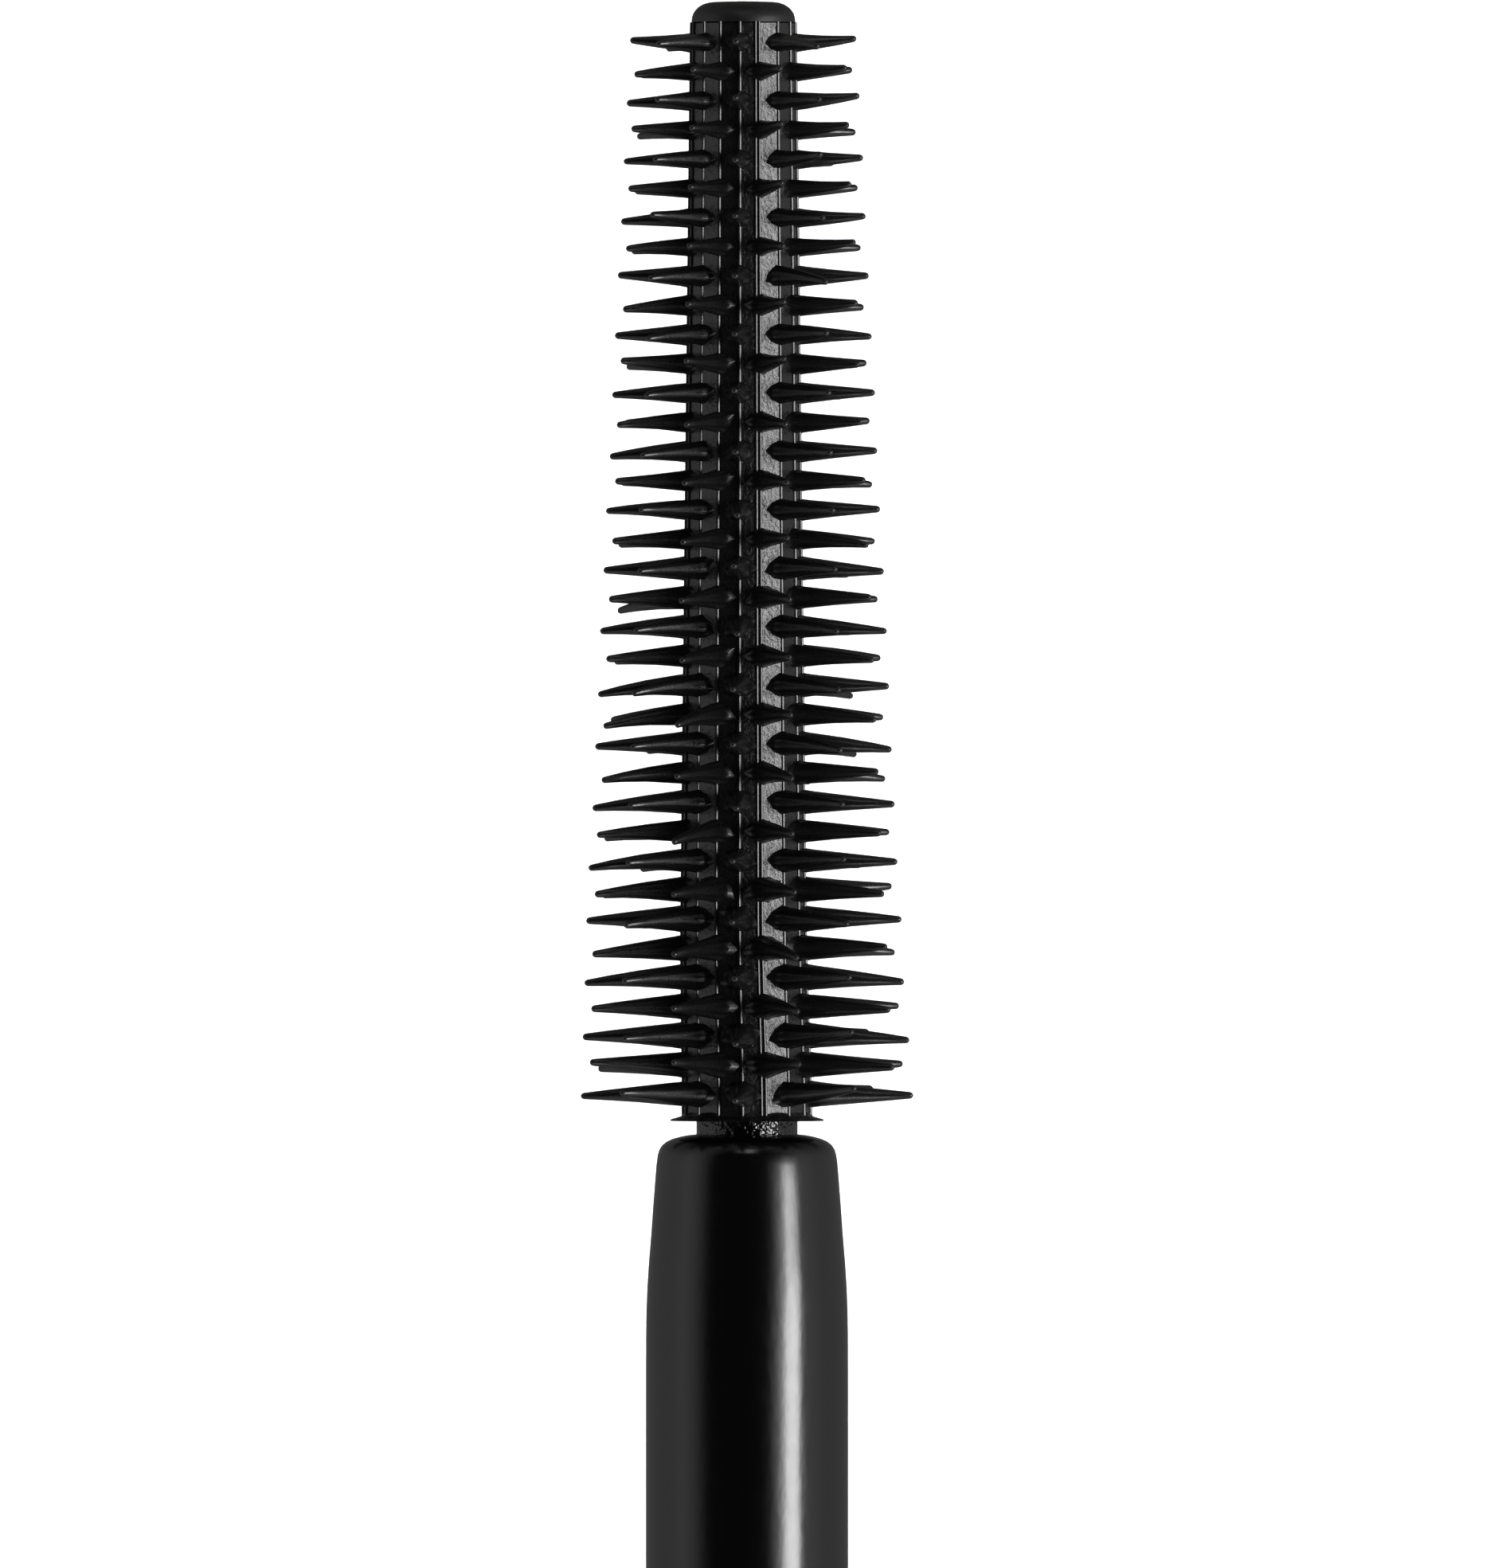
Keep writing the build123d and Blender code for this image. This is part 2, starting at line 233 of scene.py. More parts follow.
def make_materials():
    """All finishes of the mascara, by name."""
    black = tuple(bpy.context.scene.mascara_colours.black_plastic)
    paler = tuple(c * PALER for c in black)
    barrel = tuple(bpy.context.scene.mascara_colours.barrel)
    barrel_pale = tuple(c * BARREL_PALER for c in barrel)
    return {
        # Thermoplastic elastomer straight from a polished mould: soft sheen, hardly any grain
        "bristle": plastic("moulded_elastomer_bristle", "0b0b0c", "111112", (0.26, 0.34), 0.05 * MM, 0.10,
                           1.2 * MM),
        # The same elastomer from spark-eroded inserts: sparkling grain on the flats between the bristles,
        # drawn coarser than real so that it shows
        "eroded": plastic("spark_eroded_elastomer", "0e0e0f", "141415", (0.19, 0.29), 0.11 * MM, 0.38,
                          0.8 * MM, detail=4.0),
        # The inserts' polished joints: fine ridges that glint
        "ridge": plastic("insert_joint_elastomer", "0b0b0c", "111112", (0.20, 0.26), 0.05 * MM, 0.05,
                         0.8 * MM),
        # Polypropylene core: even satin head
        "head": plastic("satin_polypropylene", black, paler, (0.42, 0.50), 0.03 * MM, 0.15, 0.8 * MM),
        # The same polypropylene off an unpolished mould wall: coarse glossy pits that sparkle
        "neck": plastic("pitted_polypropylene", black, paler, (0.08, 0.14), 0.12 * MM, 0.85,
                        0.6 * MM, detail=1.0),
        # Polished acetal rod: clean gloss, faint flow marks along its length
        "stem": plastic("polished_acetal", black, paler, (0.17, 0.21), 0.16 * MM, 0.03, 6 * MM, (0.35, 1, 1)),
        # Injection-moulded ABS with a high gloss: faint waviness of the skin
        "barrel": plastic("high_gloss_abs", barrel, barrel_pale, (0.10, 0.15), 1.4 * MM, 0.008, 12 * MM),
        # Polypropylene liner: plain satin moulding
        "liner": plastic("liner_polypropylene", "161617", "1e1e20", (0.40, 0.52), 0.12 * MM, 0.20, 3 * MM),
        # Blow-moulded bottle: soft sheen with slight waves
        "bottle": plastic("blow_moulded_petg", "18181a", "222225", (0.24, 0.34), 0.7 * MM, 0.03, 5 * MM),
        # Low-density polyethylene wiper in its natural milky white
        "wiper": plastic("natural_ldpe", "c9c9c2", "d8d8d2", (0.38, 0.50), 0.10 * MM, 0.12, 2 * MM),
        # Foamed polyethylene seal: matt, with open cells
        "seal": plastic("foamed_polyethylene", "c4c4bf", "dededa", (0.70, 0.85), 0.14 * MM, 0.60,
                        1 * MM, detail=4.0),
        # Coated label paper, blank
        "label": plastic("coated_label_paper", "7c7c7a", "8a8a88", (0.45, 0.60), 0.09 * MM, 0.15, 3 * MM,
                         (1, 0.4, 1.6)),
        # Dark anodised aluminium, turned: fine rings round the axis, coarser than real so that they show
        "collar": metal("dark_anodised_aluminium", "575759", "777779", (0.22, 0.36), 0.14 * MM, 0.22),
        # Free-cutting steel slug, turned: rings in a brighter, rougher grey, also drawn coarse
        "steel": metal("turned_steel", "8a8a8c", "a8a8aa", (0.28, 0.42), 0.16 * MM, 0.35),
    }


def dress(piece, material):
    """Gives a piece, or a node of the frame, one material."""
    piece.data.materials.clear()
    piece.data.materials.append(material)


# ---------------------------------------------------------------- modelling by hand

NEAR = 0.001 * MM  # places closer than this are the same


def begin():
    bpy.ops.object.select_all(action="DESELECT")


def edit_all():
    """Edit mode with everything selected, by vertex."""
    bpy.ops.object.mode_set(mode="EDIT")
    bpy.ops.mesh.select_mode(type="VERT")
    bpy.ops.mesh.select_all(action="SELECT")


def settle(piece, smooth_deg=32):
    """Ends the modelling of a piece: faces outwards, place in the mesh, smooth shading up to an angle."""
    edit_all()
    bpy.ops.mesh.normals_make_consistent(inside=False)
    bpy.ops.object.mode_set(mode="OBJECT")
    begin()
    piece.select_set(True)
    bpy.context.view_layer.objects.active = piece
    bpy.ops.object.transform_apply(location=True, rotation=True, scale=True)
    bpy.ops.object.shade_smooth_by_angle(angle=math.radians(smooth_deg))
    return piece


def turned(name, profile, segments=96, closed=False, smooth_deg=32):
    """Piece turned about the common axis, from (x, radius) points: a ring extruded and scaled from point to
    point. A closed profile comes back to its first point; an open one is capped at both ends."""
    begin()
    x, radius = profile[0]
    bpy.ops.mesh.primitive_circle_add(
        vertices=segments, radius=radius, fill_type="NOTHING", location=(x, 0, AXIS_Z),
        rotation=(0, math.pi / 2, 0))
    piece = bpy.context.object
    piece.name = name
    edit_all()
    for next_x, next_radius in profile[1:] + (profile[:1] if closed else []):
        bpy.ops.mesh.extrude_region_move(TRANSFORM_OT_translate={"value": (next_x - x, 0, 0)})
        ratio = next_radius / radius
        bpy.ops.transform.resize(value=(1, ratio, ratio), center_override=(next_x, 0, AXIS_Z))
        x, radius = next_x, next_radius
    bpy.ops.mesh.select_all(action="SELECT")
    if closed:
        bpy.ops.mesh.remove_doubles(threshold=NEAR)
    else:
        bpy.ops.mesh.fill_holes(sides=0)
    bpy.ops.object.mode_set(mode="OBJECT")
    return settle(piece, smooth_deg)


def select_vertices(piece, chosen):
    """In edit mode, selects the vertices for whose place chosen holds."""
    bpy.ops.mesh.select_all(action="DESELECT")
    bpy.ops.object.mode_set(mode="OBJECT")
    for vertex in piece.data.vertices:
        vertex.select = chosen(vertex.co)
    bpy.ops.object.mode_set(mode="EDIT")


def join(name, pieces):
    """Joins pieces into the first one."""
    begin()
    for piece in pieces:
        piece.select_set(True)
    bpy.context.view_layer.objects.active = pieces[0]
    bpy.ops.object.join()
    pieces[0].name = name
    return pieces[0]


def place(piece, body, slot, *nodes):
    """Lets a piece ride on its body and hides the nodes of the frame that it stands for; slot is not used."""
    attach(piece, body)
    if nodes:
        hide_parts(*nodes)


# ---------------------------------------------------------------- brush

LEAN_RUN = 5.0 * MM  # length over which the brush leans over, from the flange
RIDGE_R = 0.042 * MM
PARTING_R = 0.034 * MM
# Rows where the mould parts, and the turns of the two lips of its line from the row
PARTING_ROWS = (1, 9)
PARTING_LIPS = (math.radians(-5.2), math.radians(-1.2))
FLANGE_R = 1.91 * MM

BRISTLE_SIDES = 8
BRISTLE_SINK = 0.13 * MM  # foot below the sleeve's edge
# Rings of a bristle's foot: height, widening along the brush and round it, pull of the corners between them
BRISTLE_FOOT = [(-BRISTLE_SINK, 1.12, 1.75, 0.88), (0.02 * MM, 1.07, 1.25, 0.90),
                (0.07 * MM, 1.05, 1.12, 0.95), (0.24 * MM, 1.02, 1.05, 1.0)]
BRISTLE_SHAFT = (0.45, 0.75)  # heights of the rings above the foot, as shares of the length
# The rounded end: height of its ring in tip radii, and that ring's width
END_HEIGHT, END_WIDTH = 0.62, 0.72
# Sideways shift of the bristle ends towards the stem, one model each
BRISTLE_BENDS = [v * MM for v in (-0.09, -0.03, 0.02, 0.07, 0.13, 0.22)]
BRISTLE_MODEL_LENGTHS = [v * MM for v in (1.60, 1.90, 2.20, 2.50)]
# Which bend a bristle gets, as a place in that list: at the ends, more between them, more on the +Y side
LEAST_BEND, MORE_BEND, SIDE_BEND = 1.2, 2.8, 0.8
BEND_SPREAD = 1.0
CLEAR_BEND = 0.05 * MM  # bristles bent more than this also turn about themselves
SHORTEST = 0.985  # least length of a bristle, as a share of the full one
TURN_SPREAD, TILT_SPREAD = math.radians(28), math.radians(1.0)


def model_bristle(length, bend):
    """One bristle standing on +Z at the origin: foot drawn out to a point on both sides, straight taper,
    rounded end, slight bend."""
    shape = bpy.context.scene.mascara_brush
    tip_r, slope = shape.bristle_tip_r, shape.bristle_slope
    shaft = [share * length for share in BRISTLE_SHAFT] + [length - tip_r]
    rings = BRISTLE_FOOT + [(height, 1.0, 1.0, 1.0) for height in shaft]
    begin()
    bpy.ops.mesh.primitive_circle_add(vertices=BRISTLE_SIDES, radius=1 * MM, fill_type="NOTHING",
                                      location=(0, 0, rings[0][0]))
    bristle = bpy.context.object
    bristle.name = "bristle_model"
    bpy.ops.object.transform_apply(location=True)
    edit_all()
    z, along, across, centre = rings[0][0], 1 * MM, 1 * MM, 0.0
    for next_z, wide_along, wide_across, _ in rings:
        radius = tip_r + slope * (length - next_z)
        if next_z > z:
            bpy.ops.mesh.extrude_region_move(TRANSFORM_OT_translate={"value": (0, 0, next_z - z)})
        bpy.ops.transform.resize(value=(radius * wide_along / along, radius * wide_across / across, 1),
                                 center_override=(centre, 0, next_z))
        z, along, across = next_z, radius * wide_along, radius * wide_across
        next_centre = bend * (max(z, 0) / length) ** 2
        bpy.ops.transform.translate(value=(next_centre - centre, 0, 0))
        centre = next_centre
    bpy.ops.mesh.extrude_region_move(TRANSFORM_OT_translate={"value": (0, 0, END_HEIGHT * tip_r)})
    bpy.ops.transform.resize(value=(END_WIDTH, END_WIDTH, 1), center_override=(centre, 0, z))
    bpy.ops.mesh.extrude_region_move(TRANSFORM_OT_translate={"value": (0, 0, (1 - END_HEIGHT) * tip_r)})
    bpy.ops.mesh.merge(type="CENTER")
    for height, _, _, pull in BRISTLE_FOOT:
        select_vertices(bristle, lambda v: abs(v.z - height) < NEAR and min(abs(v.x), abs(v.y)) > 10 * NEAR)
        bpy.ops.transform.resize(value=(pull, pull, 1), center_override=(0, 0, height))
    bpy.ops.mesh.select_all(action="SELECT")
    bpy.ops.mesh.fill_holes(sides=0)
    bpy.ops.object.mode_set(mode="OBJECT")
    return settle(bristle, 60)


def off_axis(x):
    """How far the brush stands off the stem's axis at x, towards +Y."""
    share = min(1.0, max(0.0, (x - SLEEVE_FOOT) / LEAN_RUN))
    return bpy.context.scene.mascara_brush.lean * share * share * (3 - 2 * share)


def lean_over(piece):
    """Leans a piece of the brush over with the brush's axis."""
    for vertex in piece.data.vertices:
        vertex.co.y += off_axis(vertex.co.x)


def core_radius(x):
    """Distance from the axis to an edge of the sleeve."""
    shape = bpy.context.scene.mascara_brush
    share = (x - SLEEVE_FOOT) / (SLEEVE_END - SLEEVE_FOOT)
    return shape.core_foot_r + share * (shape.core_tip_r - shape.core_foot_r)


class MASCARA_OT_bristles(bpy.types.Operator):
    """Bristles: a few lengths and bends are modelled once, copied round and along the sleeve, and joined"""

    bl_idname = "mascara.bristles"
    bl_label = "Bristles"

    def execute(self, context):
        shape = context.scene.mascara_brush
        draw = random.Random(shape.seed)
        models = [[model_bristle(length, bend) for bend in BRISTLE_BENDS] for length in BRISTLE_MODEL_LENGTHS]
        copies = []
        for ring in range(shape.rings):
            share = ring / (shape.rings - 1)
            x = BRUSH_TIP - shape.first_ring - ring * shape.ring_pitch
            reach = shape.reach_tip + share * (shape.reach_foot - shape.reach_tip)
            base = core_radius(x) * math.cos(math.pi / ROWS / 2)
            usual_bend = LEAST_BEND + MORE_BEND * math.sin(math.pi * share ** 2)
            for row in range(ring % 2, ROWS, 2):
                angle = shape.first_row + math.radians(row * HALF_STEP)
                length = (reach - base) * draw.uniform(SHORTEST, 1.0)
                bend = self.nearest_bend(draw.gauss(usual_bend - SIDE_BEND * math.sin(angle), BEND_SPREAD))
                turn, tilt = draw.uniform(-TURN_SPREAD, TURN_SPREAD), draw.gauss(0, TILT_SPREAD)
                if abs(BRISTLE_BENDS[bend]) <= CLEAR_BEND:
                    turn = 0.0
                family = self.nearest_model(length)
                stretch = Matrix.Diagonal((1, 1, length / BRISTLE_MODEL_LENGTHS[family], 1))
                roll = Matrix.Rotation(tilt, 4, "Y") @ Matrix.Rotation(turn, 4, "Z")
                copy = bpy.data.objects.new("bristle", models[family][bend].data.copy())
                context.scene.collection.objects.link(copy)
                copy.matrix_world = self.stand(x, angle, base) @ roll @ stretch
                copies.append(copy)
        brush = join("sleeve_bristles", copies)
        settle(brush, 60)
        lean_over(brush)
        for model in (m for family in models for m in family):
            bpy.data.objects.remove(model)
        dress(brush, MATERIALS["bristle"])
        place(brush, "applicator", "bristle_elastomer", "bristle_sleeve")
        return {"FINISHED"}

    def nearest_bend(self, value):
        return max(0, min(len(BRISTLE_BENDS) - 1, round(value)))

    def nearest_model(self, length):
        return min(range(len(BRISTLE_MODEL_LENGTHS)), key=lambda i: abs(BRISTLE_MODEL_LENGTHS[i] - length))

    def stand(self, x, angle, height):
        """Stands a model on the sleeve: its +Z outwards, its bend towards the stem."""
        out = Vector((0, -math.sin(angle), math.cos(angle)))
        stemwards = Vector((-1, 0, 0))
        turn = Matrix((stemwards, out.cross(stemwards), out)).transposed().to_4x4()
        return Matrix.Translation(Vector((x, 0, AXIS_Z)) + out * height) @ turn


class MASCARA_OT_sleeve(bpy.types.Operator):
    """Sleeve: sixteen flats, a fine ridge on each edge, the parting lines and the root flange"""

    bl_idname = "mascara.sleeve"
    bl_label = "Sleeve"

    def execute(self, context):
        shape = context.scene.mascara_brush
        bend = [SLEEVE_FOOT + share * LEAN_RUN for share in (0.02, 0.2, 0.4, 0.6, 0.8, 1.0)]
        outline = [(x, core_radius(x)) for x in bend]
        outline += [(SLEEVE_END - 0.035 * MM, shape.core_tip_r), (SLEEVE_END, shape.core_tip_r - 0.04 * MM)]
        flats = turned("sleeve_flats", outline, ROWS, smooth_deg=10)
        edge = max(flats.data.vertices, key=lambda v: v.co.z).co
        self.turn(flats, shape.first_row - math.atan2(-edge.y, edge.z - AXIS_Z))
        ridges = [self.model_ridge(bend + [SLEEVE_END], turn, radius) for turn, radius in self.edges(shape)]
        flange = turned("root_flange", [
            (SLEEVE_FOOT + 0.26 * MM, shape.core_foot_r * 0.96),
            (SLEEVE_FOOT + 0.12 * MM, shape.core_foot_r + 0.05 * MM),
            (SLEEVE_FOOT + 0.045 * MM, FLANGE_R - 0.03 * MM), (SLEEVE_FOOT + 0.02 * MM, FLANGE_R),
            (SLEEVE_FOOT, FLANGE_R - 0.03 * MM), (SLEEVE_FOOT, 1.0 * MM),
            (SLEEVE_FOOT + 0.2 * MM, 0.9 * MM)], 72)
        for piece in (flats, flange):
            dress(piece, MATERIALS["eroded"])
        for ridge in ridges:
            dress(ridge, MATERIALS["ridge"])
        sleeve = join("sleeve_wall", [flats, *ridges, flange])
        lean_over(sleeve)
        place(sleeve, "applicator", "bristle_elastomer", "bristle_sleeve")
        return {"FINISHED"}

    def edges(self, shape):
        """Turn and radius of each ridge: one on each edge, but two lips where the mould parts."""
        rows = [shape.first_row + math.radians(row * HALF_STEP) for row in range(ROWS)]
        plain = [(turn, RIDGE_R) for row, turn in enumerate(rows) if row not in PARTING_ROWS]
        return plain + [(rows[row] + lip, PARTING_R) for row in PARTING_ROWS for lip in PARTING_LIPS]

    def turn(self, piece, angle):
        """Turns a piece's mesh about the common axis."""
        piece.data.transform(Matrix.Translation((0, 0, AXIS_Z)) @ Matrix.Rotation(angle, 4, "X")
                             @ Matrix.Translation((0, 0, -AXIS_Z)))

    def model_ridge(self, stations, turn, radius):
        """One fine ridge with flat sides that follows the sleeve's taper, at a turn from straight up."""
        out = Vector((0, -math.sin(turn), math.cos(turn)))
        places = [Vector((x, 0, AXIS_Z)) + out * core_radius(x) for x in stations]
        begin()
        bpy.ops.mesh.primitive_circle_add(vertices=8, radius=radius, fill_type="NOTHING", location=places[0],
                                          rotation=(0, math.pi / 2, 0))
        ridge = bpy.context.object
        ridge.name = "ridge"
        edit_all()
        for here, there in zip(places, places[1:]):
            bpy.ops.mesh.extrude_region_move(TRANSFORM_OT_translate={"value": there - here})
        bpy.ops.mesh.select_all(action="SELECT")
        bpy.ops.mesh.fill_holes(sides=0)
        bpy.ops.object.mode_set(mode="OBJECT")
        return settle(ridge, 10)


class MASCARA_OT_core(bpy.types.Operator):
    """Core: rounded head over the sleeve's end, rod, bare pitted neck and the plug with its snap bead"""

    bl_idname = "mascara.core"
    bl_label = "Brush core"

    def execute(self, context):
        rod, plug, bead, neck = 0.85 * MM, 1.24 * MM, 1.34 * MM, 1.25 * MM
        # Depth below the end and radius of the head, in mm
        head = [(0.51, 1.285), (0.40, 1.275), (0.30, 1.245), (0.21, 1.19), (0.13, 1.11), (0.07, 1.01),
                (0.03, 0.89), (0.01, 0.74), (0.0, 0.5)]
        profile = [(CORE_FOOT, plug - 0.14 * MM), (CORE_FOOT + 0.14 * MM, plug), (STEM_TOP - 3.9 * MM, plug),
                   (STEM_TOP - 3.6 * MM, bead), (STEM_TOP - 3.4 * MM, bead), (STEM_TOP - 3.1 * MM, plug),
                   (STEM_TOP, neck), (SLEEVE_FOOT, neck), (SLEEVE_FOOT, rod),
                   (BRUSH_TIP - head[0][0] * MM, rod)]
        profile += [(BRUSH_TIP - depth * MM, radius * MM) for depth, radius in head]
        core = turned("core_with_head", profile, 96)
        lean_over(core)
        dress(core, MATERIALS["head"])
        core.data.materials.append(MATERIALS["neck"])
        for face in core.data.polygons:
            face.material_index = 1 if face.center.x < (SLEEVE_FOOT + SLEEVE_END) / 2 else 0
        place(core, "applicator", "core_plastic", "brush_core")
        return {"FINISHED"}


class MASCARA_OT_stem(bpy.types.Operator):
    """Stem: polished rod with a shallow cone and rounded shoulder, and its flange and snap bead in the cap"""

    bl_idname = "mascara.stem"
    bl_label = "Stem"

    def execute(self, context):
        rod, bead, flange, hole = 2.5 * MM, 2.6 * MM, 3.4 * MM, 1.262 * MM
        # Depth below the end and radius of the cone and its shoulder, in mm
        end = [(6.0, 2.5), (5.0, 2.497), (4.35, 2.488), (3.75, 2.464), (3.15, 2.425), (2.48, 2.37),
               (1.8, 2.322), (1.14, 2.272), (0.75, 2.24), (0.52, 2.21), (0.38, 2.17), (0.27, 2.10),
               (0.18, 1.99), (0.11, 1.84), (0.06, 1.66), (0.02, 1.46)]
        profile = [(STEM_FOOT, rod - 0.2 * MM), (STEM_FOOT + 0.2 * MM, rod), (GASKET_BACK - 6.0 * MM, rod),
                   (GASKET_BACK - 5.6 * MM, bead), (GASKET_BACK - 5.4 * MM, bead),
                   (GASKET_BACK - 5.0 * MM, rod), (GASKET_BACK, rod), (GASKET_BACK, flange),
                   (GASKET_FACE - 0.12 * MM, flange), (GASKET_FACE, flange - 0.12 * MM),
                   (GASKET_FACE, rod + 0.15 * MM), (GASKET_FACE + 0.15 * MM, rod), (STEM_TOP - 20 * MM, rod)]
        profile += [(STEM_TOP - depth * MM, radius * MM) for depth, radius in end]
        profile += [(STEM_TOP, hole), (STEM_TOP - 6.8 * MM, hole)]
        stem = turned("polished_stem", profile, 128)
        dress(stem, MATERIALS["stem"])
        place(stem, "applicator", "stem_plastic", "stem")
        return {"FINISHED"}


# ---------------------------------------------------------------- cap and tube

BARREL_BORE = BARREL_R - 0.9 * MM
CAP_ROUNDING, TUBE_ROUNDING = 0.8 * MM, 0.5 * MM


class MASCARA_OT_cap(bpy.types.Operator):
    """Cap: glossy shell with rounded end, recessed metal inlay, threaded liner, weight and gasket"""

    bl_idname = "mascara.cap"
    bl_label = "Cap"

    def execute(self, context):
        disc_r, seat, roof = 6.0 * MM, CAP_END + 0.6 * MM, CAP_END + 1.4 * MM
        profile = [(seat, 0.5 * MM), (seat, disc_r), (CAP_END + 0.04 * MM, disc_r),
                   (CAP_END, disc_r + 0.04 * MM)]
        profile += [(CAP_END + CAP_ROUNDING * (1 - math.sin(a)), BARREL_R - CAP_ROUNDING * (1 - math.cos(a)))
                    for a in (math.radians(d) for d in range(90, -1, -10))]
        profile += [(CAP_MOUTH - 0.30 * MM, BARREL_R), (CAP_MOUTH - 0.21 * MM, BARREL_R - 0.03 * MM),
                    (CAP_MOUTH - 0.09 * MM, BARREL_R - 0.1 * MM),
                    (CAP_MOUTH - 0.02 * MM, BARREL_R - 0.2 * MM), (CAP_MOUTH, BARREL_R - 0.32 * MM),
                    (CAP_MOUTH, BARREL_BORE + 0.12 * MM),
                    (CAP_MOUTH - 0.12 * MM, BARREL_BORE), (roof, BARREL_BORE), (roof, 0.5 * MM)]
        shell = turned("cap_outer_shell", profile, 128)
        dress(shell, MATERIALS["barrel"])
        place(shell, "applicator", "barrel_plastic", "cap_shell")
        inlay = turned("cap_inlay", [
            (DISC_BACK, 5.9 * MM), (DISC_FACE + 0.12 * MM, 5.95 * MM), (DISC_FACE + 0.03 * MM, 5.9 * MM),
            (DISC_FACE, 5.8 * MM), (DISC_FACE, 5.2 * MM), (DISC_FACE + 0.05 * MM, 5.1 * MM),
            (DISC_FACE + 0.05 * MM, 0.5 * MM)], 128)
        dress(inlay, MATERIALS["collar"])
        place(inlay, "applicator", "collar_metal", "cap_end_disc")
        for node, finish in (("inner_cap", "liner"), ("cap_weight", "steel"), ("cap_gasket", "seal")):
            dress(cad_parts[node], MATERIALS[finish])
        return {"FINISHED"}


class MASCARA_OT_tube(bpy.types.Operator):
    """Tube: glossy sleeve, satin collar, threaded bottle neck, wiper, base plug and blank label"""

    bl_idname = "mascara.tube"
    bl_label = "Tube"

    def execute(self, context):
        self.outer_sleeve()
        self.collar()
        self.wiper()
        for node, finish in (("bottle", "bottle"), ("base_plug", "barrel"), ("base_label", "label")):
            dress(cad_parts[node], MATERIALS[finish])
        return {"FINISHED"}

    def outer_sleeve(self):
        edge = [(TUBE_END - TUBE_ROUNDING * (1 - math.sin(a)), BARREL_R - TUBE_ROUNDING * (1 - math.cos(a)))
                for a in (math.radians(d) for d in range(0, 91, 15))]
        sleeve = turned("tube_outer_sleeve", [
            (TUBE_TOP, BARREL_BORE), (TUBE_TOP, BARREL_R - 0.05 * MM), (TUBE_TOP + 0.05 * MM, BARREL_R),
            *edge, (TUBE_END, BARREL_BORE)], 128, closed=True)
        dress(sleeve, MATERIALS["barrel"])
        place(sleeve, "tube", "barrel_plastic", "tube_sleeve")

    def collar(self):
        neck_hole, step_r = 5.25 * MM, 7.35 * MM
        plate = COLLAR_TOP + 1.0 * MM
        collar = turned("satin_collar", [
            (COLLAR_TOP, neck_hole + 0.06 * MM), (COLLAR_TOP, BARREL_R - 0.24 * MM),
            (COLLAR_TOP + 0.03 * MM, BARREL_R - 0.12 * MM), (COLLAR_TOP + 0.09 * MM, BARREL_R - 0.04 * MM),
            (COLLAR_TOP + 0.2 * MM, BARREL_R), (COLLAR_FOOT - 0.05 * MM, BARREL_R),
            (COLLAR_FOOT, BARREL_R - 0.05 * MM), (COLLAR_FOOT, step_r), (plate, step_r), (plate, neck_hole),
            (COLLAR_TOP + 0.06 * MM, neck_hole)], 128, closed=True)
        dress(collar, MATERIALS["collar"])
        place(collar, "tube", "collar_metal", "tube_collar")

    def wiper(self):
        wall, mouth, flange, lip = 4.53 * MM, 4.03 * MM, 5.1 * MM, 2.55 * MM
        wiper = turned("neck_wiper", [
            (WIPER_TOP + 0.12 * MM, mouth), (WIPER_TOP, mouth + 0.12 * MM), (WIPER_TOP, flange - 0.1 * MM),
            (WIPER_TOP + 0.1 * MM, flange), (NECK_RIM, flange), (NECK_RIM, wall), (NECK_RIM + 5.8 * MM, wall),
            (WIPER_LIP, lip + 0.3 * MM), (WIPER_LIP, lip + 0.03 * MM), (WIPER_LIP - 0.15 * MM, lip),
            (WIPER_LIP - 0.4 * MM, lip + 0.01 * MM), (NECK_RIM + 5.6 * MM, mouth)], 96, closed=True)
        dress(wiper, MATERIALS["wiper"])
        place(wiper, "tube", "wiper_rubber", "wiper")


# ---------------------------------------------------------------- stage

FLOOR_GAP = 0.02 * MM
# Lights, in metres
PANEL_DISTANCE = 3.0
STRIP_SIZE, END_PANEL_SIZE = (1.90, 2.8), (0.90, 1.0)
SENSOR_WIDTH = 36.0  # full frame, in mm


